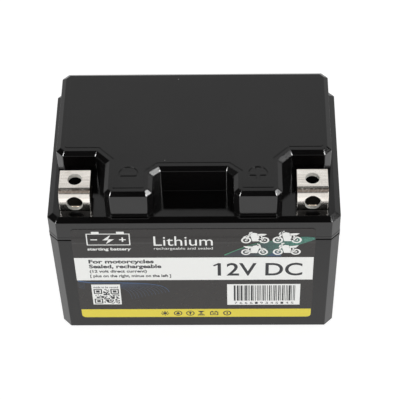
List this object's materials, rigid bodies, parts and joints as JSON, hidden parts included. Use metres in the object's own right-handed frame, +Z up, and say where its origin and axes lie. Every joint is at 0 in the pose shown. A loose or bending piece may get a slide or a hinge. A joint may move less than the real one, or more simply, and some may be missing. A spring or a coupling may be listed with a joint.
{
  "type": "motorcycle battery",
  "caption": "Small sealed lithium motorcycle battery: black case and stepped lid with two folded metal terminals in notches, cells and electronics inside.",
  "frame": {"origin": "on the ground under the middle of the case", "axes": "+X to the right along the length, +Y from the terminal and label side to the back, +Z up"},
  "size_m": [0.114, 0.0703, 0.085],
  "materials": {
    "case_black": "smooth glossy black moulded ABS",
    "lid_black": "glossy black moulded ABS",
    "label_print": "printed film label, dark grey with white, green and yellow areas",
    "plated_strip": "bright nickel-plated copper strip",
    "seal_rubber": "soft black rubber",
    "adhesive": "cured adhesive",
    "cell_wrap": "blue shrink sleeve",
    "holder_plastic": "black moulded plastic",
    "nickel": "plain nickel strip",
    "circuit_board": "green solder mask",
    "aluminium": "plain extruded",
    "white_plastic": "white nylon",
    "tinned_copper": "tinned",
    "zinc_steel": "zinc plated",
    "black_silicone": "silicone insulation",
    "red_silicone": "silicone insulation",
    "yellow_silicone": "silicone insulation",
    "green_silicone": "silicone insulation",
    "blue_silicone": "silicone insulation",
    "black_foam": "closed-cell foam",
    "insulating_paper": "stiff insulating paper"
  },
  "bodies": {
    "root": {"bottom_foam_pad": "black_foam", "case_box": "case_black", "cell_1": "cell_wrap", "cell_2": "cell_wrap", "cell_3": "cell_wrap", "cell_4": "cell_wrap", "cell_negative_lead": "black_silicone", "front_foam_block": "black_foam", "front_label": "label_print", "insulating_sheet": "insulating_paper", "lid": "lid_black", "lid_sealing_bead": "adhesive", "link_1_2": "nickel", "link_2_3": "nickel", "link_3_4": "nickel", "lower_cell_holder": "holder_plastic", "negative_end_tab": "nickel", "negative_lug": "tinned_copper", "negative_lug_nut": "zinc_steel", "negative_lug_screw": "zinc_steel", "negative_terminal": "plated_strip", "negative_terminal_seal": "seal_rubber", "output_negative_lead": "black_silicone", "positive_end_tab": "nickel", "positive_lead": "red_silicone", "positive_lug": "tinned_copper", "positive_lug_nut": "zinc_steel", "positive_lug_screw": "zinc_steel", "positive_terminal": "plated_strip", "positive_terminal_seal": "seal_rubber", "protection_board": "circuit_board", "rear_foam_block": "black_foam", "sense_connector": "white_plastic", "sense_wire_0": "black_silicone", "sense_wire_1": "blue_silicone", "sense_wire_2": "green_silicone", "sense_wire_3": "yellow_silicone", "sense_wire_4": "red_silicone", "top_foam_pad": "black_foam", "transistor_heat_spreader": "aluminium", "upper_cell_holder": "holder_plastic"}
  },
  "joints": []
}
